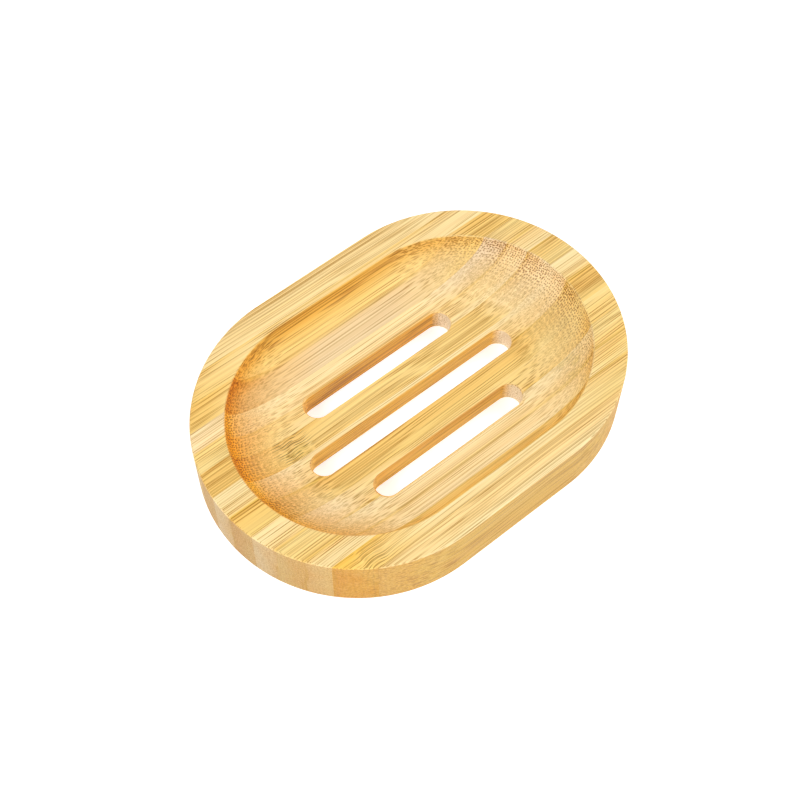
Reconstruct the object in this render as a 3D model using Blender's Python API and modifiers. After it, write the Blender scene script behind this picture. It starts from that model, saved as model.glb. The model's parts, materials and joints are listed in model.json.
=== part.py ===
"""Bamboo soap dish: thirteen strips glued side by side, then milled to an oval
tray with a dished recess and three drain slots.

Metres, +Z up. The strips and the long side run along X, the front faces -Y,
and the origin is the middle of the flat underside.
"""
import math

import bmesh
import bpy

# The outside of the dish, a rectangle with fully round ends
LENGTH = 0.120
WIDTH = 0.085
HEIGHT = 0.018
ARRIS = 0.0005  # width of the sanded edges

# The recess, which follows the outline and curves down to a level floor
RIM_WIDTH = 0.009
RECESS_DEPTH = 0.011
RECESS_SLOPE = 0.020  # from the edge of the recess in to its level floor

# The drain slots, back to front, each with fully round ends
SLOT_WIDTH = 0.007
SLOT_PITCH = 0.0146
SLOT_LENGTHS = (0.048, 0.066, 0.048)
SLOTS_FORWARD = 0.0009  # the middle slot lies this far in front of the long axis

# The strips, back to front: name, width and tone of the bamboo
STRIPS = (
    ("back_edge_strip", 0.0074, "straw"),
    ("back_rim_strip", 0.0067, "amber"),
    ("back_slope_strip", 0.0066, "cream"),
    ("back_floor_strip", 0.0054, "straw"),
    ("back_slot_strip", 0.0055, "cream"),
    ("back_bar_strip", 0.0071, "honey"),
    ("middle_slot_strip", 0.0069, "cream"),
    ("front_bar_strip", 0.0074, "amber"),
    ("front_slot_strip", 0.0067, "straw"),
    ("front_floor_strip", 0.0065, "honey"),
    ("front_slope_strip", 0.0053, "cream"),
    ("front_rim_strip", 0.0071, "amber"),
    ("front_edge_strip", 0.0064, "straw"),
)
GLUE_GAP = 0.0003
TONES = {
    "cream": "F6DAA8",
    "straw": "F1D48F",
    "honey": "F2C778",
    "amber": "EAB562",
}
ROUGHNESS = 0.5

# How finely the curves are cut into facets
ROUND_STEPS = 96
SLOPE_STEPS = 12
SLOT_STEPS = 32

# How far a cutter or an uncut strip runs past the surface it crosses
OVERRUN = 0.002


def clear_scene():
    for obj in list(bpy.data.objects):
        bpy.data.objects.remove(obj, do_unlink=True)


def new_collection(name):
    collection = bpy.data.collections.new(name)
    bpy.context.scene.collection.children.link(collection)
    return collection


def linear(hex_colour):
    """The sRGB hex colour as linear RGB with full alpha."""
    values = [int(hex_colour[i:i + 2], 16) / 255 for i in (0, 2, 4)]
    return [v / 12.92 if v <= 0.04045 else ((v + 0.055) / 1.055) ** 2.4 for v in values] + [1]


def bamboo(name, tone):
    """Sanded bamboo of one tone, for one strip."""
    material = bpy.data.materials.new(name)
    material.use_nodes = True
    shader = material.node_tree.nodes["Principled BSDF"]
    shader.inputs["Base Color"].default_value = linear(TONES[tone])
    shader.inputs["Roughness"].default_value = ROUGHNESS
    shader.inputs["Metallic"].default_value = 0
    material.diffuse_color = linear(TONES[tone])
    return material


def turned_points(profile, steps):
    """The points of a profile of (radius, height) turned about Z by a Screw modifier."""
    mesh = bpy.data.meshes.new("profile")
    edges = [(i, i + 1) for i in range(len(profile) - 1)]
    mesh.from_pydata([(radius, 0, height) for radius, height in profile], edges, [])
    guide = bpy.data.objects.new("profile", mesh)
    bpy.context.scene.collection.objects.link(guide)
    screw = guide.modifiers.new("turn", "SCREW")
    screw.steps = steps
    screw.render_steps = steps
    screw.use_merge_vertices = True
    screw.merge_threshold = 1e-5
    evaluated = guide.evaluated_get(bpy.context.evaluated_depsgraph_get())
    points = [vertex.co.copy() for vertex in evaluated.to_mesh().vertices]
    evaluated.to_mesh_clear()
    bpy.data.objects.remove(guide, do_unlink=True)
    bpy.data.meshes.remove(mesh)
    return points


def long_round_cutter(name, profile, length, collection, steps=ROUND_STEPS):
    """A turned shape drawn out along X: the hull of the shape at each end of its length.

    The profile is (radius, height) from the top down, and is convex.
    """
    points = turned_points(profile, steps)
    widest = max(radius for radius, height in profile)
    reach = length / 2 - widest
    mesh = bpy.data.meshes.new(name)
    shell = bmesh.new()
    for end in (-reach, reach):
        for point in points:
            shell.verts.new((point.x + end, point.y, point.z))
    hull = bmesh.ops.convex_hull(shell, input=shell.verts[:])
    inner = {v for v in hull["geom_interior"] + hull["geom_unused"] if isinstance(v, bmesh.types.BMVert)}
    bmesh.ops.delete(shell, geom=list(inner), context="VERTS")
    bmesh.ops.dissolve_limit(
        shell, angle_limit=math.radians(0.05), verts=shell.verts[:], edges=shell.edges[:]
    )
    bmesh.ops.recalc_face_normals(shell, faces=shell.faces[:])
    shell.to_mesh(mesh)
    shell.free()
    cutter = bpy.data.objects.new(name, mesh)
    cutter.hide_render = True
    cutter.display_type = "WIRE"
    collection.objects.link(cutter)
    return cutter


def outline_cutter(collection):
    """The outside of the dish, with its top and bottom edges sanded off at 45 degrees."""
    radius = WIDTH / 2
    profile = (
        (0, HEIGHT),
        (radius - ARRIS, HEIGHT),
        (radius, HEIGHT - ARRIS),
        (radius, ARRIS),
        (radius - ARRIS, 0),
        (0, 0),
    )
    return long_round_cutter("dish_outline", profile, LENGTH, collection)


def recess_cutter(collection):
    """The dished recess: a quarter ellipse from its upright edge down to its level floor."""
    radius = WIDTH / 2 - RIM_WIDTH
    profile = [(0, HEIGHT + OVERRUN), (radius, HEIGHT + OVERRUN)]
    for step in range(SLOPE_STEPS + 1):
        angle = math.radians(90) * step / SLOPE_STEPS
        inward = RECESS_SLOPE * (1 - math.cos(angle))
        down = RECESS_DEPTH * math.sin(angle)
        profile.append((radius - inward, HEIGHT - down))
    profile.append((0, HEIGHT - RECESS_DEPTH))
    return long_round_cutter("recess", profile, LENGTH - 2 * RIM_WIDTH, collection)


def recess_arris_cutter(collection):
    """The 45 degree flare that takes the sharp edge off the mouth of the recess."""
    radius = WIDTH / 2 - RIM_WIDTH
    profile = (
        (0, HEIGHT + OVERRUN),
        (radius + ARRIS + OVERRUN, HEIGHT + OVERRUN),
        (radius + ARRIS - OVERRUN, HEIGHT - OVERRUN),
        (0, HEIGHT - OVERRUN),
    )
    length = LENGTH - 2 * RIM_WIDTH + 2 * (ARRIS + OVERRUN)
    return long_round_cutter("recess_arris", profile, length, collection)


def slot_cutters(collection):
    """Each slot's cutter with the Y of the slot's back and front walls."""
    radius = SLOT_WIDTH / 2
    profile = (
        (0, HEIGHT),
        (radius, HEIGHT),
        (radius, -OVERRUN),
        (0, -OVERRUN),
    )
    slots = []
    for place, length in enumerate(SLOT_LENGTHS):
        middle = (1 - place) * SLOT_PITCH - SLOTS_FORWARD
        name = ("back_slot", "middle_slot", "front_slot")[place]
        cutter = long_round_cutter(name, profile, length, collection, SLOT_STEPS)
        cutter.location.y = middle
        slots.append((cutter, middle + radius, middle - radius))
    return slots


def uncut_strip(name, tone, x_range, y_range, collection):
    """A sawn strip before milling: a plain bar that runs past the dish above, below and at its ends."""
    size = (x_range[1] - x_range[0], y_range[1] - y_range[0], HEIGHT + 2 * OVERRUN)
    mesh = bpy.data.meshes.new(name)
    bar = bmesh.new()
    bmesh.ops.create_cube(bar, size=1)
    bmesh.ops.scale(bar, vec=size, verts=bar.verts[:])
    bar.to_mesh(mesh)
    bar.free()
    strip = bpy.data.objects.new(name, mesh)
    strip.location = (sum(x_range) / 2, sum(y_range) / 2, HEIGHT / 2)
    strip.data.materials.append(bamboo(name + "_bamboo", tone))
    collection.objects.link(strip)
    return strip


def mill(strip, cutter, operation):
    cut = strip.modifiers.new(cutter.name, "BOOLEAN")
    cut.operation = operation
    cut.object = cutter


def strip_pieces(name, back, front, slots):
    """The (name, x range) of each piece of a strip: two where a slot is wider than the strip."""
    end = LENGTH / 2 + OVERRUN
    for cutter, slot_back, slot_front in slots:
        if slot_back > back and slot_front < front:
            return ((name + "_left", (-end, -OVERRUN)), (name + "_right", (OVERRUN, end)))
    return ((name, (-end, end)),)


def glued_strips(collection, outline, recess, recess_arris, slots):
    """Every strip in its place, milled to its share of the dish."""
    back = WIDTH / 2
    for number, (name, width, tone) in enumerate(STRIPS):
        front = back - width
        y_range = [front + GLUE_GAP / 2, back - GLUE_GAP / 2]
        if number == 0:
            y_range[1] = back + OVERRUN
        if number == len(STRIPS) - 1:
            y_range[0] = front - OVERRUN
        for piece, x_range in strip_pieces(name, y_range[1], y_range[0], slots):
            strip = uncut_strip(piece, tone, x_range, y_range, collection)
            mill(strip, outline, "INTERSECT")
            mill(strip, recess, "DIFFERENCE")
            mill(strip, recess_arris, "DIFFERENCE")
            for cutter, slot_back, slot_front in slots:
                if slot_back > y_range[0] and slot_front < y_range[1]:
                    mill(strip, cutter, "DIFFERENCE")
            strip.data.shade_smooth()
            strip.data.set_sharp_from_angle(angle=math.radians(30))
        back = front


def main():
    clear_scene()
    dish = new_collection("soap_dish")
    cutters = new_collection("cutters")
    outline = outline_cutter(cutters)
    recess = recess_cutter(cutters)
    recess_arris = recess_arris_cutter(cutters)
    slots = slot_cutters(cutters)
    glued_strips(dish, outline, recess, recess_arris, slots)


main()
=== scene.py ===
"""The finished look of a bamboo soap dish: thirteen glued strips, milled and sanded.

Laid out as an add-on and run as a script. Metres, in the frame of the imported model:
+Z up, the strips along X, the front at -Y, the origin in the middle of the underside.
"""
import functools
import json
import math
import types
import typing

import bmesh
import bpy
from bpy.props import FloatProperty, FloatVectorProperty, PointerProperty
from mathutils import Matrix, Vector

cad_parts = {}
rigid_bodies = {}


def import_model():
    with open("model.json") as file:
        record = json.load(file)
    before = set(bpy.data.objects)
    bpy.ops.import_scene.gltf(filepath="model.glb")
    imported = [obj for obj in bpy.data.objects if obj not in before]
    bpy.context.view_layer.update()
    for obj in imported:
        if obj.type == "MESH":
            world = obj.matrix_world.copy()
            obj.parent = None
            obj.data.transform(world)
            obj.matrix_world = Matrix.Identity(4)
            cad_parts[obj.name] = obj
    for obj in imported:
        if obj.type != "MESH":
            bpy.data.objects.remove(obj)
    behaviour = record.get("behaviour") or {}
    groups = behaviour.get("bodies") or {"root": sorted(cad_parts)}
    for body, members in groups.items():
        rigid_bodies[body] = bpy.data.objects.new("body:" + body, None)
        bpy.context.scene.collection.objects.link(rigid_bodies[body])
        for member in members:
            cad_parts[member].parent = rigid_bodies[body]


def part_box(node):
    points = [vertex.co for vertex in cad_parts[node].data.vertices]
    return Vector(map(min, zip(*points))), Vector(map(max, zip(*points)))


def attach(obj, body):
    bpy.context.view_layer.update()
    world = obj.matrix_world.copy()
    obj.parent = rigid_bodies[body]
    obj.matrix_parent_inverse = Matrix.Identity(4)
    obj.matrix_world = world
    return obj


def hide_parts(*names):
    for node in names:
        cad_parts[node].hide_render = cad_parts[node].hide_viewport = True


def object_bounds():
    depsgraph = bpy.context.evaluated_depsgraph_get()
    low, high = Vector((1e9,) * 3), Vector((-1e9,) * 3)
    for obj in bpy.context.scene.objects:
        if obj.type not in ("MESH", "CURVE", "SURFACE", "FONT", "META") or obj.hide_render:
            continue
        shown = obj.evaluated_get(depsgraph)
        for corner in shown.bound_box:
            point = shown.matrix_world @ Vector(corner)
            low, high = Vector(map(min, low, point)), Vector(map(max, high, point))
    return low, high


for startup_object in list(bpy.data.objects):
    bpy.data.objects.remove(startup_object, do_unlink=True)
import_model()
CAD_LOW, CAD_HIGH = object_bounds()

bl_info = {
    "name": "Bamboo Soap Dish",
    "version": (1, 0, 0),
    "blender": (4, 5, 0),
    "location": "View3D > Sidebar > Soap Dish",
    "description": "Mills a bamboo soap dish out of glued strips and gives it a sanded finish",
    "category": "Add Mesh",
}

MM = 0.001

# How finely the milled curves are drawn
ROUND_STEPS = 192
SLOPE_STEPS = 24
SLOT_STEPS = 48
ARRIS_STEPS = 4
SHARP_ANGLE = math.radians(25)  # edges sharper than this stay crisp

# How the strips are cut, in metres
OVERRUN = 0.002  # how far a cutter runs past the surface it crosses
GLUE_GAP = 0.0003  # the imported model's gap between neighbouring strips
SAME_PLACE = 0.00001  # places closer than this are the same
SLIVER = 0.000002  # edges shorter than this are closed after a cut

# A lip that met the flat beside it at 0 degrees would leave slivers, so it starts this far round
RECESS_LIP_START = 12
SLOT_LIP_START = 15


class Strip(typing.NamedTuple):
    """The bamboo of one strip. Tones are at the left end, in the middle and at the right end."""

    top: tuple  # tones of its level faces and of the outside wall
    slopes: tuple  # tones where the recess or a slot cut it
    seed: int  # which stretch of bamboo it is
    skin_side: int = 1  # 1 where the outside of the stalk faced the back, -1 the front
    density: float = 1.0  # how thick its fibre bundles are
    joint: tuple = ()  # a joint of the stalk: its X and half width in mm, and how strongly it shows


# Back to front
STRIPS = {
    "back_edge_strip": Strip(
        top=("straw", "straw", "straw"), slopes=("straw", "straw", "straw"), seed=11,
    ),
    "back_rim_strip": Strip(
        top=("amber", "straw", "straw"), slopes=("honey", "amber", "straw"), seed=23,
        density=0.9,
    ),
    "back_slope_strip": Strip(
        top=("amber", "cream", "amber"), slopes=("russet", "fawn", "honey"), seed=37,
        density=1.1,
    ),
    "back_floor_strip": Strip(
        top=("cream", "cream", "honey"), slopes=("cream", "straw", "blush"), seed=41,
        skin_side=-1, density=1.1,
    ),
    # One strip as it was glued, which the back slot cuts in two
    "back_slot_strip_left": Strip(
        top=("honey", "straw", "straw"), slopes=("gold", "straw", "cream"), seed=53,
    ),
    "back_slot_strip_right": Strip(
        top=("honey", "straw", "straw"), slopes=("gold", "straw", "cream"), seed=53,
    ),
    "back_bar_strip": Strip(
        top=("amber", "honey", "honey"), slopes=("gold", "honey", "cream"), seed=67,
        density=1.5, joint=(-33, 7, 0.8),
    ),
    "middle_slot_strip": Strip(
        top=("straw", "straw", "straw"), slopes=("shell", "straw", "cream"), seed=71,
        skin_side=-1, density=0.9,
    ),
    "front_bar_strip": Strip(
        top=("amber", "amber", "amber"), slopes=("straw", "amber", "honey"), seed=83,
        density=1.5,
    ),
    "front_slot_strip": Strip(
        top=("straw", "honey", "honey"), slopes=("shell", "straw", "honey"), seed=97,
        skin_side=-1,
    ),
    "front_floor_strip": Strip(
        top=("honey", "straw", "honey"), slopes=("cream", "cream", "straw"), seed=101,
        skin_side=-1, density=1.1, joint=(38, 6, 0.25),
    ),
    "front_slope_strip": Strip(
        top=("straw", "cream", "honey"), slopes=("cream", "cream", "straw"), seed=113,
    ),
    "front_rim_strip": Strip(
        top=("gold", "straw", "honey"), slopes=("russet", "amber", "honey"), seed=127,
        density=1.1, joint=(-39, 6, 0.35),
    ),
    "front_edge_strip": Strip(
        top=("straw", "straw", "straw"), slopes=("straw", "straw", "straw"), seed=139,
        density=1.2,
    ),
}

# The grain, in mm. Fibre bundles stand 0.3 to 1 mm apart in a stalk.
BUNDLE_SPACING = 0.66
DARK_SPACING = 0.55
JOINT_LINE_SPACING = 0.75
SEED_STEP = (3.7, 5.3, 2.9)  # from the bamboo of one seed to that of the next, in X, Y and Z
TONE_DRIFT = 40  # how far a change of tone may wander along a strip
TONE_CHANGE = (15, 45)  # from the middle, where the tone of an end begins and is complete
WALL_BAND = (0.5, 0.7)  # in from the outline: the outside wall fades out over this band


def linear(hex_colour):
    """The sRGB hex colour as linear RGB with full alpha."""
    values = [int(hex_colour[i:i + 2], 16) / 255 for i in (0, 2, 4)]
    return [v / 12.92 if v <= 0.04045 else ((v + 0.055) / 1.055) ** 2.4 for v in values] + [1]


class SoapDishSizes(bpy.types.PropertyGroup):
    """The sizes that the strips are milled to."""

    length: FloatProperty(
        name="Length", description="Over the round ends", unit="LENGTH", precision=4,
        default=CAD_HIGH[0] - CAD_LOW[0],
    )
    width: FloatProperty(
        name="Width", description="Over the straight sides", unit="LENGTH", precision=4,
        default=CAD_HIGH[1] - CAD_LOW[1],
    )
    height: FloatProperty(
        name="Height", description="From the underside to the rim", unit="LENGTH", precision=4,
        default=CAD_HIGH[2] - CAD_LOW[2],
    )
    rim_width: FloatProperty(
        name="Rim", description="Width of the level rim", unit="LENGTH", precision=4,
        default=9 * MM,
    )
    recess_depth: FloatProperty(
        name="Recess Depth", description="From the rim down to the level floor", unit="LENGTH",
        precision=4, default=11 * MM,
    )
    recess_slope: FloatProperty(
        name="Recess Slope", description="From the recess edge in to the level floor",
        unit="LENGTH", precision=4, default=20 * MM,
    )
    slot_width: FloatProperty(
        name="Slot Width", description="Width of each drain slot", unit="LENGTH", precision=4,
        default=7 * MM,
    )
    slot_pitch: FloatProperty(
        name="Slot Pitch", description="From one slot's middle to the next", unit="LENGTH",
        precision=4, default=14.6 * MM,
    )
    slots_forward: FloatProperty(
        name="Slots Forward", description="How far the middle slot lies in front of the long axis",
        unit="LENGTH", precision=4, default=0.9 * MM,
    )
    middle_slot: FloatProperty(
        name="Middle Slot", description="Length of the middle slot", unit="LENGTH", precision=4,
        default=66 * MM,
    )
    outer_slot: FloatProperty(
        name="Outer Slots", description="Length of the back and the front slot", unit="LENGTH",
        precision=4, default=48 * MM,
    )
    edge_round: FloatProperty(
        name="Edge Round", description="Radius that sanding leaves on the outer edges",
        unit="LENGTH", precision=5, default=0.45 * MM,
    )
    slot_round: FloatProperty(
        name="Slot Round", description="Radius that sanding leaves on the slot edges",
        unit="LENGTH", precision=5, default=0.3 * MM,
    )
    glue_film: FloatProperty(
        name="Glue Film", description="Thickness of the glue between two strips",
        unit="LENGTH", precision=6, default=0.02 * MM,
    )


def colour(name, hex_colour, description):
    """A colour that a user may change, given as sRGB hex."""
    return FloatVectorProperty(
        name=name, description=description, subtype="COLOR", size=4, min=0, max=1,
        default=linear(hex_colour),
    )


class BambooColours(bpy.types.PropertyGroup):
    """The tones of the strips, and the tints that the grain and the tools give them."""

    shell: colour("Shell", "FAEBCE", "Strips that turn palest where the recess cuts them")
    blush: colour("Blush", "E8D6C0", "Strips that turn pinkish where the recess cuts them")
    fawn: colour("Fawn", "DFCBAF", "Strips that turn pinkish brown where the recess cuts them")
    cream: colour("Cream", "F7E2B7", "Palest strips")
    straw: colour("Straw", "F3DCA5", "Yellow strips")
    honey: colour("Honey", "F0D58E", "Strips of middling depth")
    amber: colour("Amber", "EDCB7A", "Deep strips")
    gold: colour("Gold", "F3CC64", "Strips that turn golden where the recess cuts them")
    russet: colour("Russet", "E0A92C", "Strips that turn deepest where the recess cuts them")
    # Painted sheen: the gentle slopes of the recess are mixed towards this pale tone
    slope_sheen: colour("Fuzz", "FFE4A0", "Short torn fibres on the gentle slopes, which look pale")
    growth: colour("Growth Bands", "FFE6B0", "Tint of the deeper bands along a strip")
    streak: colour("Streaks", "FFE2A6", "Tint of the narrow orange streaks")
    vein: colour("Vein", "BA9C54", "Tint of the fibre bundles, which show as fine dark lines")
    bundle: colour("Bundle Ends", "A4733A", "Tint of the bundles where they are cut across")
    skin: colour("Skin", "E4BE4C", "The olive side that lay under the skin of the stalk")
    joint: colour("Joint", "F0F0C4", "Green tint round a joint of the stalk")
    joint_line: colour("Joint Lines", "75632F", "Tint of the thin bent lines in a joint")
    # Painted shade: deepens the left slope of the recess, which faces away from the key light
    left_slope_shade: colour("End Grain", "FFCE4E", "Tint where the left slope cuts across the fibres")
    # Painted shade: deepens the steep long sides of the recess
    steep: colour("Steep Side", "FFF0C0", "Tint of the steep long sides of the recess")
    # Partly the side grain's own tone and partly painted shade: deepens the upright faces along the
    # fibres, such as the slot walls
    side_grain_and_shade: colour("Side Grain", "FFE98F", "Tint of the upright faces along the fibres")
    # Painted shade: Wall darkens the whole outside wall and End Wall darkens its round ends a
    # little more
    wall: colour("Wall", "DFDCE5", "Tint of the outside wall, which the belt left duller")
    end_wall: colour("End Wall", "F1F3F7", "Tint of the outside wall at the ends of the strips")
    # Painted shade: deepens the upright faces inside the outline, such as the slot walls, and the
    # underside
    slot: colour("Slot Wall", "FFFADC", "Tint of the slot walls and of the underside")
    # Painted light: the slot ends that face the key light are mixed towards this pale tone; the
    # other ends, cut across the fibres too, are not
    lit_slot_end: colour("Slot End", "E1D6C0", "Right-hand slot ends, cut clean across the fibres")


def add(tree, kind, sockets, out=0, **settings):
    """A shader node with its settings, its sockets set or linked, and one output to go on with."""
    made = tree.nodes.new("ShaderNode" + kind)
    for setting, value in settings.items():
        setattr(made, setting, value)
    for socket, value in sockets.items():
        if isinstance(value, bpy.types.NodeSocket):
            tree.links.new(value, made.inputs[socket])
        else:
            made.inputs[socket].default_value = value
    return made.outputs[out]


def wander(node, place, size, reach, detail):
    """A smooth random shift of up to half of reach either way, which changes over size, in mm."""
    slow = node("VectorMath", {0: place, 1: [1 / length for length in size]}, operation="MULTIPLY")
    shift = node("TexNoise", {"Vector": slow, "Scale": 1, "Detail": detail}, "Color")
    shift = node("VectorMath", {0: shift, 1: (0.5, 0.5, 0.5)}, operation="SUBTRACT")
    return node("VectorMath", {0: shift, 1: reach}, operation="MULTIPLY")


def stalk_joint(node, joint, along, own, fibres):
    """A joint of the stalk: how near it is, its thin bent lines, and the fibres that it bends."""
    middle, half_width, strength = joint
    core = half_width * 0.3
    away = node("Math", {0: along, 1: middle}, operation="SUBTRACT")
    away = node("Math", {0: away}, operation="ABSOLUTE")
    near = node(
        "MapRange", {"Value": away, "From Min": half_width, "From Max": core},
        interpolation_type="SMOOTHSTEP",
    )
    bend = wander(node, own, size=(4, 9, 9), reach=(0, 1.2, 0.6), detail=0)
    bend = node("VectorMath", {0: bend, "Scale": near}, operation="SCALE")
    fibres = node("VectorMath", {0: fibres, 1: bend}, operation="ADD")

    # The lines follow the bent fibres and break off every few millimetres
    lines = node("SeparateXYZ", {0: fibres}, "Y")
    lines = node("Math", {0: lines, 1: 2 * math.pi / JOINT_LINE_SPACING}, operation="MULTIPLY")
    lines = node("Math", {0: lines}, operation="SINE")
    lines = node("MapRange", {"Value": lines, "From Min": 0.55, "From Max": 0.95})
    broken = node("VectorMath", {0: own, 1: (1 / 3, 1 / 0.8, 1 / 0.8)}, operation="MULTIPLY")
    broken = node("TexNoise", {"Vector": broken, "Scale": 1, "Detail": 0}, "Fac")
    broken = node("MapRange", {"Value": broken, "From Min": 0.38, "From Max": 0.52})
    for factor in (broken, near, strength):
        lines = node("Math", {0: lines, 1: factor}, operation="MULTIPLY")
    return near, lines, fibres


def stalk_grain(node, strip, y_range):
    """Where a point lies in its strip, in mm, and the patterns that it shows there."""
    place = node("TexCoord", {}, "Object")
    mm = node("VectorMath", {0: place, 1: (1 / MM, 1 / MM, 1 / MM)}, operation="MULTIPLY")
    along = node("SeparateXYZ", {0: mm}, "X")
    over = node("SeparateXYZ", {0: mm}, "Y")
    own = node("VectorMath", {0: mm, 1: [strip.seed * step for step in SEED_STEP]}, operation="ADD")

    # Fibres wander by about a millimetre in 70 mm of length
    shift = wander(node, own, size=(70, 22, 22), reach=(0, 2.2, 2.2), detail=1)
    fibres = node("VectorMath", {0: own, 1: shift}, operation="ADD")
    joint = joint_lines = None
    if strip.joint:
        joint, joint_lines, fibres = stalk_joint(node, strip.joint, along, own, fibres)

    # Each pattern as (name, what it follows, its size in mm along X, Y and Z, detail). Single
    # fibres and the nap that the grit leaves are under 0.1 mm wide, too fine to show in the
    # render, so "fine" and "nap" are drawn 0.3 to 0.55 mm wide.
    patterns = {}
    for name, follows, size, detail in (
        ("bands", fibres, (150, 3.2, 6), 0),
        ("streaks", fibres, (60, 1.0, 1.6), 1),
        ("fine", fibres, (40, 0.4, 0.55), 0),
        ("fade", fibres, (16, 2.5, 2.5), 1),
        ("nap", own, (0.32, 0.3, 0.3), 0),
        ("side_streaks", own, (14, 0.9, 0.5), 0),
        ("drift", own, (55, 10, 14), 1),
    ):
        scale = [1 / length for length in size]
        scaled = node("VectorMath", {0: follows, 1: scale}, operation="MULTIPLY")
        patterns[name] = node("TexNoise", {"Vector": scaled, "Scale": 1, "Detail": detail}, "Fac")

    # 0 at the pith side of the strip, 1 at its skin side
    pith, skin = y_range if strip.skin_side > 0 else reversed(y_range)
    depth = node("MapRange", {"Value": over, "From Min": pith / MM, "From Max": skin / MM})
    return types.SimpleNamespace(
        along=along, over=over, fibres=fibres, depth=depth, joint=joint, joint_lines=joint_lines,
        **patterns,
    )


def cut_faces(node, grain, sizes):
    """Which way the surface was cut at a point, worked out from its normal and its place."""
    facing = node("TexCoord", {}, "Normal")
    level = node("SeparateXYZ", {0: facing}, "Z")
    endwise = node("SeparateXYZ", {0: facing}, "X")
    sideways = node("Math", {0: node("SeparateXYZ", {0: facing}, "Y")}, operation="ABSOLUTE")

    # The distance from the long axis, measured as the outline is, parts the outside from the inside
    spine = (sizes.length - sizes.width) / 2 / MM
    past_spine = node("Math", {0: grain.along}, operation="ABSOLUTE")
    past_spine = node("Math", {0: past_spine, 1: spine}, operation="SUBTRACT")
    past_spine = node("Math", {0: past_spine, 1: 0}, operation="MAXIMUM")
    radius = node("CombineXYZ", {"X": past_spine, "Y": grain.over})
    radius = node("VectorMath", {0: radius}, "Value", operation="LENGTH")
    outer, inner = (sizes.width / 2 / MM - band for band in WALL_BAND)
    outside = node("MapRange", {"Value": radius, "From Min": inner, "From Max": outer})
    inside = node("MapRange", {"Value": radius, "From Min": outer, "From Max": inner})

    # Faces that look up. Where they tilt to an end, the cutter ran out across the fibres. The
    # signed value is above 0 on the left slope, where it drives painted shade, and below 0 on the
    # right one.
    upward = node("MapRange", {"Value": level, "From Min": 0.02, "From Max": 0.1})
    upward = node("Math", {0: upward, 1: inside}, operation="MULTIPLY")
    run_out_and_left_shade = node("Math", {0: endwise, 1: upward}, operation="MULTIPLY")
    across = node("Math", {0: run_out_and_left_shade}, operation="ABSOLUTE")
    steep = node("Math", {0: sideways, 1: upward}, operation="MULTIPLY")

    # Faces that aren't level, and the gentle slopes among them, which get a painted sheen. A gentle
    # slope is cut woolly, with short fibres torn up, most of all where it turns across the fibres.
    sloping = node("Math", {0: level}, operation="ABSOLUTE")
    sloping = node("MapRange", {"Value": sloping, "From Min": 1.0, "From Max": 0.97})
    sloping = node("Math", {0: sloping, 1: inside}, operation="MULTIPLY")
    gentle = node("MapRange", {"Value": level, "From Min": 0.4, "From Max": 0.8})
    gentle = node("Math", {0: sloping, 1: gentle}, operation="MULTIPLY")
    woolly = node("MapRange", {"Value": across, "From Min": 0.04, "From Max": 0.3, "To Min": 0.35})
    woolly = node("Math", {0: woolly, 1: gentle}, operation="MULTIPLY")

    # Upright faces and those that look down. The sanding belt closed the pores of the outside wall.
    upright = node("MapRange", {"Value": level, "From Min": 0.1, "From Max": 0.02})
    wall = node("Math", {0: upright, 1: outside}, operation="MULTIPLY")
    end_wall = node("Math", {0: endwise, 1: wall}, operation="MULTIPLY")
    end_wall = node("Math", {0: end_wall}, operation="ABSOLUTE")
    side_wall = node("Math", {0: sideways, 1: upright}, operation="MULTIPLY")
    slot_wall = node("Math", {0: upright, 1: inside}, operation="MULTIPLY")
    # Painted light: the slot faces that look towards -X, at the key light
    lit_slot_end = node("Math", {0: endwise, 1: slot_wall}, operation="MULTIPLY")
    lit_slot_end = node("Math", {0: lit_slot_end, 1: -1}, operation="MULTIPLY")
    pores = node("MapRange", {"Value": wall, "To Min": 1.0, "To Max": 0.35})
    return types.SimpleNamespace(
        run_out_and_left_shade=run_out_and_left_shade, across=across, steep=steep, sloping=sloping, gentle=gentle, woolly=woolly,
        wall=wall, end_wall=end_wall, side_wall=side_wall, slot_wall=slot_wall, lit_slot_end=lit_slot_end,
        pores=pores,
    )


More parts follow.
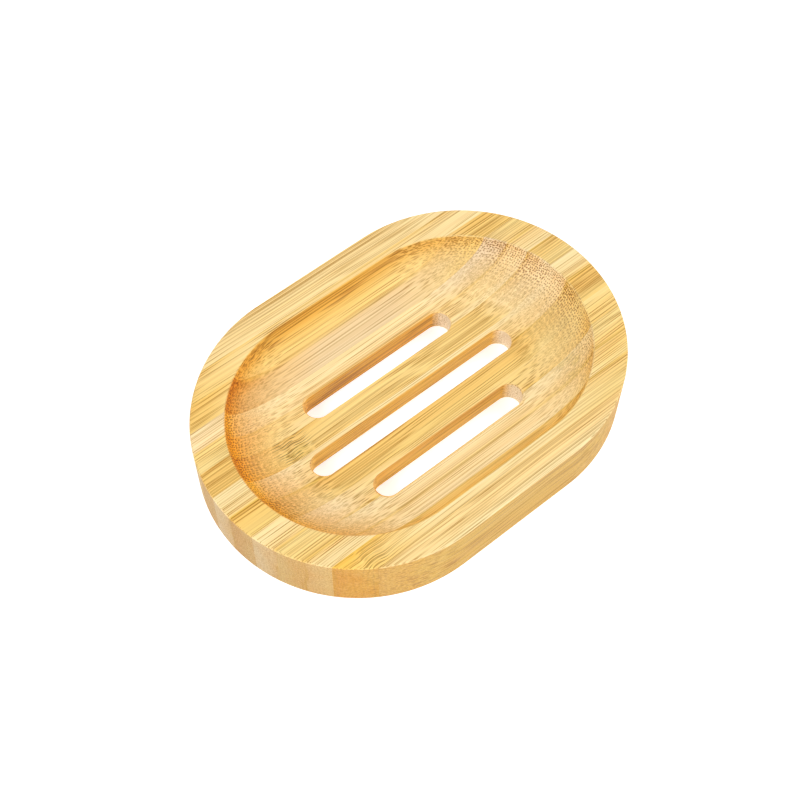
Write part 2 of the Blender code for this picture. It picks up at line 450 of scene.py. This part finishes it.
def fibre_bundles(node, strip, grain, face):
    """The fibre bundles, the dots that they show where they are cut across, and their lines."""
    y = node("SeparateXYZ", {0: grain.fibres}, "Y")
    z = node("SeparateXYZ", {0: grain.fibres}, "Z")
    cells = node("CombineXYZ", {"X": y, "Y": z})
    reach = node(
        "TexVoronoi", {"Vector": cells, "Scale": 1 / BUNDLE_SPACING, "Randomness": 0.5}, "Distance",
        voronoi_dimensions="2D",
    )
    dark = node(
        "TexVoronoi", {"Vector": cells, "Scale": 1 / DARK_SPACING, "Randomness": 1}, "Distance",
        voronoi_dimensions="2D",
    )

    # How thick a bundle is, as a share of the spacing: a little more towards the skin, more where
    # it is cut across, but not in a dense strip, where the dots would run together, and a little
    # more on the left slope than on the right one, which adds to the painted shade there
    thinnest, thickest = 0.22 * strip.density, 0.24 * strip.density
    thick = node("MapRange", {"Value": grain.depth, "To Min": thinnest, "To Max": thickest})
    swelling = 0.06 - 0.16 * (strip.density - 1)
    thick = node("Math", {0: face.across, 1: swelling, 2: thick}, operation="MULTIPLY_ADD")
    thick = node("Math", {0: face.run_out_and_left_shade, 1: 0.03, 2: thick}, operation="MULTIPLY_ADD")
    bundles = node("Math", {0: thick, 1: reach}, operation="SUBTRACT")
    bundles = node(
        "MapRange", {"Value": bundles, "From Min": -0.08, "From Max": 0.08},
        interpolation_type="SMOOTHSTEP",
    )

    # A few more are dark, and thickest on the skin side, on the steep sides and at a joint
    thicker = [(grain.depth, -0.09 * strip.density), (face.steep, -0.06)]
    if strip.joint:
        thicker.append((grain.joint, -0.03))
    for where, by in thicker:
        dark = node("Math", {0: where, 1: by, 2: dark}, operation="MULTIPLY_ADD")
    dark = node("MapRange", {"Value": dark, "From Min": 0.23, "From Max": 0.1})

    # Bundles fade in and out along the strip. Their ends show in full on the slopes and about
    # half as much on the outside wall. Their long sides show less, least of all on a woolly slope.
    fade = {"Value": grain.fade, "From Min": 0.35, "From Max": 0.65}
    fading = node("MapRange", {**fade, "To Min": 0.7, "To Max": 1.0})
    shown = node("Math", {0: fading, 1: face.pores}, operation="MULTIPLY")
    shown = node("Math", {0: shown, 1: bundles}, operation="MULTIPLY")
    dots = node("Math", {0: face.end_wall, 1: 0.45, 2: face.across}, operation="MULTIPLY_ADD")
    dots = node("MapRange", {"Value": dots, "From Min": 0.3, "From Max": 0.8})
    dots = node("Math", {0: dots, 1: shown}, operation="MULTIPLY")
    lengthwise = node("MapRange", {"Value": face.woolly, "To Min": 0.55, "To Max": 0.2})
    closed = node(
        "MapRange",
        {"Value": face.steep, "From Min": 0.8, "From Max": 0.95, "To Min": 1.0, "To Max": 0.7},
    )
    lengthwise = node("Math", {0: lengthwise, 1: closed}, operation="MULTIPLY")
    lines = node("Math", {0: shown, 1: lengthwise}, operation="MULTIPLY")
    dark_fading = node("MapRange", {**fade, "To Min": 0.6, "To Max": 1.0})
    quiet = node("MapRange", {"Value": face.woolly, "To Min": 1.0, "To Max": 0.35})
    for factor in (face.pores, dark_fading, quiet):
        dark = node("Math", {0: dark, 1: factor}, operation="MULTIPLY")
    lines = node("Math", {0: lines, 1: dark}, operation="MAXIMUM")
    return bundles, dots, lines


def strip_tones(node, strip, grain, colours):
    """The strip's tone where it was cut level, and where it was cut at a slope."""
    place = node("Math", {0: grain.drift, 1: TONE_DRIFT, 2: grain.along}, operation="MULTIPLY_ADD")
    tones = []
    for left, middle, right in (strip.top, strip.slopes):
        tone = getattr(colours, middle)
        for side, end in ((-1, left), (1, right)):
            begins, complete = (TONE_DRIFT / 2 + side * away for away in TONE_CHANGE)
            factor = node("MapRange", {"Value": place, "From Min": begins, "From Max": complete})
            tone = node("Mix", {0: factor, 6: tone, 7: getattr(colours, end)}, 2, data_type="RGBA")
        tones.append(tone)
    return tones


def sanded_bamboo(node_name, y_range, sizes, colours):
    """Side-pressed bamboo, milled, sanded fine and oiled clear, with no stain.

    Each strip is one stalk wall on edge. Its fibre bundles run the length of the strip: cut
    along, they show as fine olive-brown lines, and cut across, as on a slope or an end, as dots.
    They crowd towards the side that lay under the skin, which keeps an olive cast. The left
    slope of the recess, which faces away from the key light, is painted deeper and more orange
    as shade.
    """
    strip = STRIPS[node_name]
    material = bpy.data.materials.new(node_name.replace("_strip", "_sanded_bamboo"))
    material.use_nodes = True
    tree = material.node_tree
    shader = tree.nodes["Principled BSDF"]
    shader.inputs["IOR"].default_value = 1.5  # of wood fibre and of dried oil
    shader.inputs["Specular IOR Level"].default_value = 0.4
    node = functools.partial(add, tree)
    grain = stalk_grain(node, strip, y_range)
    face = cut_faces(node, grain, sizes)
    bundles, dots, lines = fibre_bundles(node, strip, grain, face)
    top, slopes = strip_tones(node, strip, grain, colours)

    # The olive cast lies in bands on the skin side. Sanding leaves a nap on the woolly slopes and
    # hardly less of it on the outside wall. Streaks show on the steep sides of the recess and a
    # little fainter on the upright faces along the fibres.
    skin_band = node("MapRange", {"Value": grain.depth, "From Min": 0.7, "From Max": 1.0})
    skin_band = node("Math", {0: skin_band, 1: grain.bands}, operation="MULTIPLY")
    napped = node("Math", {0: face.wall, 1: 0.92}, operation="MULTIPLY")
    napped = node("Math", {0: napped, 1: face.woolly}, operation="MAXIMUM")
    nap = node("Math", {0: grain.nap, 1: napped}, operation="MULTIPLY")
    long_side = node("Math", {0: face.side_wall, 1: 0.84, 2: face.steep}, operation="MULTIPLY_ADD")
    side_streaks = node("Math", {0: grain.side_streaks, 1: long_side}, operation="MULTIPLY")

    # Each layer as (what drives it, from, to, how strongly it shows, how it blends, its colour)
    base = node("Mix", {0: face.sloping, 6: top, 7: slopes}, 2, data_type="RGBA")
    layers = [
        (grain.depth, 0.2, 1.0, 0.45, "MULTIPLY", colours.growth),
        (grain.bands, 0.38, 0.66, 0.25, "MULTIPLY", colours.growth),
        (grain.streaks, 0.4, 0.7, 0.1, "MULTIPLY", colours.streak),
        (skin_band, 0.3, 0.6, 0.55, "MIX", colours.skin),
        # Painted sheen on the gentle slopes
        (face.gentle, 0.0, 1.0, 0.3, "MIX", colours.slope_sheen),
        (grain.fine, 0.3, 0.7, 0.2, "MULTIPLY", colours.vein),
        (nap, 0.42, 0.68, 0.35, "MULTIPLY", colours.vein),
        # Painted shade on the left slope of the recess
        (face.run_out_and_left_shade, 0.15, 0.75, 1.0, "MULTIPLY", colours.left_slope_shade),
        # Painted shade on the steep long sides of the recess
        (face.steep, 0.5, 0.85, 1.0, "MULTIPLY", colours.steep),
        (side_streaks, 0.46, 0.6, 0.45, "MULTIPLY", colours.bundle),
        # Side grain tone with painted shade on the upright faces along the fibres
        (face.side_wall, 0.3, 0.95, 1.0, "MULTIPLY", colours.side_grain_and_shade),
        # Painted shade on the outside wall
        (face.wall, 0.0, 1.0, 1.0, "MULTIPLY", colours.wall),
        (face.end_wall, 0.3, 0.9, 0.35, "MULTIPLY", top),
        # Painted shade at the round ends of the outside wall
        (face.end_wall, 0.3, 0.9, 1.0, "MULTIPLY", colours.end_wall),
        # Painted shade inside the slots and on the underside
        (face.slot_wall, 0.0, 1.0, 1.0, "MULTIPLY", colours.slot),
        # Painted light on the slot ends that face the key light
        (face.lit_slot_end, 0.2, 0.8, 0.8, "MIX", colours.lit_slot_end),
        (dots, 0.0, 1.0, 1.0, "MULTIPLY", colours.bundle),
        (lines, 0.0, 1.0, 1.0, "MULTIPLY", colours.vein),
    ]
    if strip.joint:
        patches = node("Math", {0: grain.joint, 1: grain.fade}, operation="MULTIPLY")
        layers.append((patches, 0.4, 0.7, 0.6, "MULTIPLY", colours.joint))
        bent_lines = node("Math", {0: grain.joint_lines, 1: face.pores}, operation="MULTIPLY")
        layers.append((bent_lines, 0.0, 0.8, 1.0, "MULTIPLY", colours.joint_line))
    for driver, start, end, strength, blend, tint in layers:
        span = {"From Min": start, "From Max": end, "To Max": strength}
        factor = node("MapRange", {"Value": driver, **span})
        base = node("Mix", {0: factor, 6: base, 7: tint}, 2, data_type="RGBA", blend_type=blend)
    tree.links.new(base, shader.inputs["Base Color"])

    # Satin, with the soft wood between fibres a little duller. The pores of the bundles lie lowest.
    rough = node(
        "MapRange",
        {"Value": grain.fine, "From Min": 0.3, "From Max": 0.7, "To Min": 0.5, "To Max": 0.66},
    )
    tree.links.new(rough, shader.inputs["Roughness"])
    relief = node("Math", {0: grain.fine, 1: bundles}, operation="SUBTRACT")
    bump = node("Bump", {"Height": relief, "Distance": 0.03 * MM, "Strength": 0.6})
    tree.links.new(bump, shader.inputs["Normal"])
    return material


def as_object(name, mesh):
    """The bmesh as an object of the scene."""
    data = bpy.data.meshes.new(name)
    mesh.to_mesh(data)
    mesh.free()
    made = bpy.data.objects.new(name, data)
    bpy.context.scene.collection.objects.link(made)
    return made


def loft(name, profile, length, widest, steps):
    """A closed solid: the long round outline drawn at each (radius, height) of a profile."""
    reach = length / 2 - widest
    mesh = bmesh.new()
    rings = []
    for radius, height in profile:
        ring = []
        for step in range(steps + 2):
            end = 1 if step <= steps / 2 else -1
            turn = 2 * math.pi * (step - (0 if end > 0 else 1)) / steps - math.pi / 2
            point = (end * reach + radius * math.cos(turn), radius * math.sin(turn), height)
            ring.append(mesh.verts.new(point))
        rings.append(ring)
    for upper, lower in zip(rings, rings[1:]):
        for i in range(len(upper)):
            j = (i + 1) % len(upper)
            mesh.faces.new((upper[i], lower[i], lower[j], upper[j]))
    mesh.faces.new(rings[0])
    mesh.faces.new(reversed(rings[-1]))
    bmesh.ops.recalc_face_normals(mesh, faces=mesh.faces[:])
    return as_object(name, mesh)


def arc(start, end, steps):
    """The angles of an arc from start to end degrees, in radians."""
    return [math.radians(start + (end - start) * step / steps) for step in range(steps + 1)]


# The three profiles run from the top down, as (radius, height)
def outline_profile(sizes):
    """The outside wall with its two sanded edges."""
    radius, height, arris = sizes.width / 2, sizes.height, sizes.edge_round
    inner = radius - arris
    profile = []
    for a in arc(0, 90, ARRIS_STEPS):
        profile.append((inner + arris * math.sin(a), height - arris + arris * math.cos(a)))
    for a in arc(0, 90, ARRIS_STEPS):
        profile.append((inner + arris * math.cos(a), arris - arris * math.sin(a)))
    return profile


def recess_profile(sizes):
    """The recess: a sanded lip, then a quarter ellipse from an upright wall to a level floor."""
    radius, top, lip = sizes.width / 2 - sizes.rim_width, sizes.height, sizes.edge_round
    profile = [(radius + lip + OVERRUN, top + OVERRUN)]
    for a in arc(RECESS_LIP_START, 90, ARRIS_STEPS):
        profile.append((radius + lip - lip * math.sin(a), top - lip + lip * math.cos(a)))
    start = math.degrees(math.asin(lip / sizes.recess_depth))
    for a in arc(start, 90, SLOPE_STEPS)[1:]:
        inward = sizes.recess_slope * (1 - math.cos(a))
        profile.append((radius - inward, top - sizes.recess_depth * math.sin(a)))
    return profile


def slot_profile(sizes):
    """A drain slot through the floor, sanded where it breaks the floor and the underside."""
    radius, floor, lip = sizes.slot_width / 2, sizes.height - sizes.recess_depth, sizes.slot_round
    profile = [(radius + lip + OVERRUN, floor + OVERRUN)]
    for a in arc(SLOT_LIP_START, 90, ARRIS_STEPS):
        profile.append((radius + lip - lip * math.sin(a), floor - lip + lip * math.cos(a)))
    for a in arc(90, SLOT_LIP_START, ARRIS_STEPS):
        profile.append((radius + lip - lip * math.sin(a), lip - lip * math.cos(a)))
    profile.append((radius + lip + OVERRUN, -OVERRUN))
    return profile


def apply_modifier(target, kind, **settings):
    """Gives the target the mesh that a modifier with these settings makes of it."""
    modifier = target.modifiers.new("finish", kind)
    for setting, value in settings.items():
        setattr(modifier, setting, value)
    graph = bpy.context.evaluated_depsgraph_get()
    result = bpy.data.meshes.new_from_object(target.evaluated_get(graph))
    target.modifiers.remove(modifier)
    target.data = result


def cut(target, tool, operation):
    """Applies one Boolean to the target's mesh and removes the tool."""
    apply_modifier(target, "BOOLEAN", operation=operation, object=tool)
    bpy.data.objects.remove(tool, do_unlink=True)


def milled_dish(sizes):
    """The whole dish as it comes off the mill, before it is told apart into its strips."""
    dish = loft("milled_dish", outline_profile(sizes), sizes.length, sizes.width / 2, ROUND_STEPS)
    recess_length = sizes.length - 2 * sizes.rim_width
    recess_radius = sizes.width / 2 - sizes.rim_width
    recess = loft("recess", recess_profile(sizes), recess_length, recess_radius, ROUND_STEPS)
    cut(dish, recess, "DIFFERENCE")
    lengths = (sizes.outer_slot, sizes.middle_slot, sizes.outer_slot)
    for place, length in enumerate(lengths):
        slot = loft("slot", slot_profile(sizes), length, sizes.slot_width / 2, SLOT_STEPS)
        slot.location.y = (1 - place) * sizes.slot_pitch - sizes.slots_forward
        cut(dish, slot, "DIFFERENCE")
    return dish


def drop_slivers(mesh):
    """Closes the faces without area that a cut leaves where two curves just touch."""
    shape = bmesh.new()
    shape.from_mesh(mesh)
    bmesh.ops.dissolve_degenerate(shape, dist=SLIVER, edges=shape.edges[:])
    shape.to_mesh(mesh)
    shape.free()


def is_outside(y):
    """Whether a strip's face at this Y is the outside of the dish, with no neighbour."""
    return min(abs(y - CAD_LOW[1]), abs(y - CAD_HIGH[1])) < SAME_PLACE


def strip_range(node):
    """The Y of a strip's front and back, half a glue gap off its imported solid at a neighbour."""
    low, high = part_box(node)
    front = low.y if is_outside(low.y) else low.y - GLUE_GAP / 2
    back = high.y if is_outside(high.y) else high.y + GLUE_GAP / 2
    return front, back


def strip_slab(node, sizes):
    """A box round one strip's share of the dish, half a glue film inside each glued face."""
    low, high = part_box(node)
    front, back = strip_range(node)
    film = sizes.glue_film / 2
    front += -OVERRUN if is_outside(front) else film
    back -= -OVERRUN if is_outside(back) else film
    mesh = bmesh.new()
    bmesh.ops.create_cube(mesh, size=1)
    middle = Vector(((low.x + high.x) / 2, (front + back) / 2, sizes.height / 2))
    size = Vector((high.x - low.x + 2 * OVERRUN, back - front, sizes.height + 2 * OVERRUN))
    bmesh.ops.transform(mesh, matrix=Matrix.LocRotScale(middle, None, size), verts=mesh.verts[:])
    return as_object("slab", mesh)


def milled_strip(node, dish, sizes, colours):
    """One strip as it lies in the finished dish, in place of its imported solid."""
    strip = bpy.data.objects.new(node.replace("_strip", "_bamboo"), dish.data.copy())
    bpy.context.scene.collection.objects.link(strip)
    cut(strip, strip_slab(node, sizes), "INTERSECT")
    drop_slivers(strip.data)
    strip.data.materials.clear()
    strip.data.materials.append(sanded_bamboo(node, strip_range(node), sizes, colours))
    strip.data.shade_smooth()
    strip.data.set_sharp_from_angle(angle=SHARP_ANGLE)
    apply_modifier(strip, "WEIGHTED_NORMAL", keep_sharp=True)
    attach(strip, "root")
    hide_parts(node)


def mill_strips(context, *nodes):
    """Every strip in nodes, cut out of one milled dish."""
    sizes, colours = context.scene.soap_dish_sizes, context.scene.bamboo_colours
    dish = milled_dish(sizes)
    for node in nodes:
        milled_strip(node, dish, sizes, colours)
    bpy.data.objects.remove(dish, do_unlink=True)


class SOAPDISH_OT_edge_strips(bpy.types.Operator):
    """Mill the two outermost strips, which carry the long straight sides"""

    bl_idname = "soap_dish.edge_strips"
    bl_label = "Edge Strips"

    def execute(self, context):
        mill_strips(context, "back_edge_strip", "front_edge_strip")
        return {"FINISHED"}


class SOAPDISH_OT_rim_strips(bpy.types.Operator):
    """Mill the two strips under the long rims and the steep walls of the recess"""

    bl_idname = "soap_dish.rim_strips"
    bl_label = "Rim Strips"

    def execute(self, context):
        mill_strips(context, "back_rim_strip", "front_rim_strip")
        return {"FINISHED"}


class SOAPDISH_OT_slope_strips(bpy.types.Operator):
    """Mill the strips where the recess slopes down to its floor"""

    bl_idname = "soap_dish.slope_strips"
    bl_label = "Slope Strips"

    def execute(self, context):
        mill_strips(
            context, "back_slope_strip", "back_floor_strip", "front_floor_strip",
            "front_slope_strip",
        )
        return {"FINISHED"}


class SOAPDISH_OT_slot_strips(bpy.types.Operator):
    """Mill the strips that the drain slots run through, one of them cut in two"""

    bl_idname = "soap_dish.slot_strips"
    bl_label = "Slot Strips"

    def execute(self, context):
        mill_strips(
            context, "back_slot_strip_left", "back_slot_strip_right", "middle_slot_strip",
            "front_slot_strip",
        )
        return {"FINISHED"}


class SOAPDISH_OT_bar_strips(bpy.types.Operator):
    """Mill the strips that stay whole as the bars between the slots"""

    bl_idname = "soap_dish.bar_strips"
    bl_label = "Bar Strips"

    def execute(self, context):
        mill_strips(context, "back_bar_strip", "front_bar_strip")
        return {"FINISHED"}


# The camera, turned from a view along +Y, with the dish's rim as its aim
VIEW_TURN = math.radians(-39.81)
VIEW_RISE = math.radians(59.64)
VIEW_ROLL = math.radians(0.69)
VIEW_DISTANCE = 383.66 * MM
VIEW_SLIDE = (3.07 * MM, 5.98 * MM)
LENS_MM = 67.51
SENSOR_MM = 36

# The lights and the floor, in metres
BOX_SIZE = 0.5
BOX_DISTANCE = 0.9
FLOOR_REACH = 1.5
FLOOR_DROP = 0.02 * MM  # so that the floor and the underside don't share a plane
FLOOR_GLOW = 0.62
ROOM_LIGHT = 0.03
WHITE = (1, 1, 1, 1)


def studio_camera(height):
    """The camera, which looks at the dish from its front left and above."""
    back = Vector((
        math.sin(VIEW_TURN) * math.cos(VIEW_RISE),
        -math.cos(VIEW_TURN) * math.cos(VIEW_RISE),
        math.sin(VIEW_RISE),
    ))
    right = Vector((math.cos(VIEW_TURN), math.sin(VIEW_TURN), 0))
    right = Matrix.Rotation(VIEW_ROLL, 3, back) @ right
    up = back.cross(right)
    data = bpy.data.cameras.new("camera")
    data.lens = LENS_MM
    data.sensor_width = SENSOR_MM
    data.clip_start = 1 * MM
    camera = bpy.data.objects.new("camera", data)
    turn = Matrix((right, up, back)).transposed().to_4x4()
    spot = back * VIEW_DISTANCE - right * VIEW_SLIDE[0] - up * VIEW_SLIDE[1]
    spot.z += height
    camera.matrix_world = Matrix.Translation(spot) @ turn
    bpy.context.scene.collection.objects.link(camera)
    bpy.context.scene.camera = camera


def soft_box(name, azimuth, elevation, watts):
    """A square soft box aimed at the dish. Azimuth 0 is +X and 90 is +Y."""
    turn, rise = math.radians(azimuth), math.radians(elevation)
    reach = math.cos(rise)
    spot = Vector((math.cos(turn) * reach, math.sin(turn) * reach, math.sin(rise)))
    data = bpy.data.lights.new(name, "AREA")
    data.size = BOX_SIZE
    data.energy = watts
    light = bpy.data.objects.new(name, data)
    light.location = spot * BOX_DISTANCE
    light.rotation_euler = spot.to_track_quat("Z", "Y").to_euler()
    bpy.context.scene.collection.objects.link(light)


def pale_floor():
    """White acrylic lit from below, which keeps the floor pale inside the slots too."""
    mesh = bmesh.new()
    bmesh.ops.create_grid(mesh, x_segments=1, y_segments=1, size=FLOOR_REACH)
    floor = as_object("floor", mesh)
    floor.location.z = CAD_LOW[2] - FLOOR_DROP
    material = bpy.data.materials.new("white_acrylic")
    material.use_nodes = True
    shader = material.node_tree.nodes["Principled BSDF"]
    shader.inputs["Base Color"].default_value = linear("D8D8D8")
    shader.inputs["Roughness"].default_value = 0.9
    shader.inputs["Specular IOR Level"].default_value = 0
    shader.inputs["Emission Color"].default_value = WHITE
    shader.inputs["Emission Strength"].default_value = FLOOR_GLOW
    floor.data.materials.append(material)


class SOAPDISH_OT_studio(bpy.types.Operator):
    """Set the pale floor, the soft lights and the camera"""

    bl_idname = "soap_dish.studio"
    bl_label = "Studio"

    def execute(self, context):
        pale_floor()
        soft_box("key_light", azimuth=180, elevation=37, watts=6.3)
        soft_box("fill_light", azimuth=0, elevation=37, watts=5.5)
        soft_box("back_light", azimuth=90, elevation=28, watts=3.0)
        soft_box("front_light", azimuth=270, elevation=28, watts=4.5)
        world = bpy.data.worlds.new("studio")
        world.use_nodes = True
        world.node_tree.nodes["Background"].inputs["Color"].default_value = WHITE
        world.node_tree.nodes["Background"].inputs["Strength"].default_value = ROOM_LIGHT
        context.scene.world = world
        context.scene.view_settings.view_transform = "Standard"
        studio_camera(context.scene.soap_dish_sizes.height)
        return {"FINISHED"}


class SOAPDISH_PT_panel(bpy.types.Panel):
    """The soap dish's pieces, sizes and colours"""

    bl_idname = "SOAPDISH_PT_panel"
    bl_label = "Soap Dish"
    bl_space_type = "VIEW_3D"
    bl_region_type = "UI"
    bl_category = "Soap Dish"

    def draw(self, context):
        for operator in OPERATORS:
            self.layout.operator(operator.bl_idname)
        for group in (context.scene.soap_dish_sizes, context.scene.bamboo_colours):
            box = self.layout.box()
            for name in group.__annotations__:
                box.prop(group, name)


OPERATORS = (
    SOAPDISH_OT_edge_strips,
    SOAPDISH_OT_rim_strips,
    SOAPDISH_OT_slope_strips,
    SOAPDISH_OT_slot_strips,
    SOAPDISH_OT_bar_strips,
    SOAPDISH_OT_studio,
)
CLASSES = (SoapDishSizes, BambooColours, *OPERATORS, SOAPDISH_PT_panel)


def register():
    for each in CLASSES:
        bpy.utils.register_class(each)
    bpy.types.Scene.soap_dish_sizes = PointerProperty(type=SoapDishSizes)
    bpy.types.Scene.bamboo_colours = PointerProperty(type=BambooColours)


def unregister():
    del bpy.types.Scene.bamboo_colours
    del bpy.types.Scene.soap_dish_sizes
    for each in reversed(CLASSES):
        bpy.utils.unregister_class(each)


def main():
    register()
    bpy.ops.soap_dish.edge_strips()
    bpy.ops.soap_dish.rim_strips()
    bpy.ops.soap_dish.slope_strips()
    bpy.ops.soap_dish.slot_strips()
    bpy.ops.soap_dish.bar_strips()
    bpy.ops.soap_dish.studio()


if __name__ == "__main__":
    main()
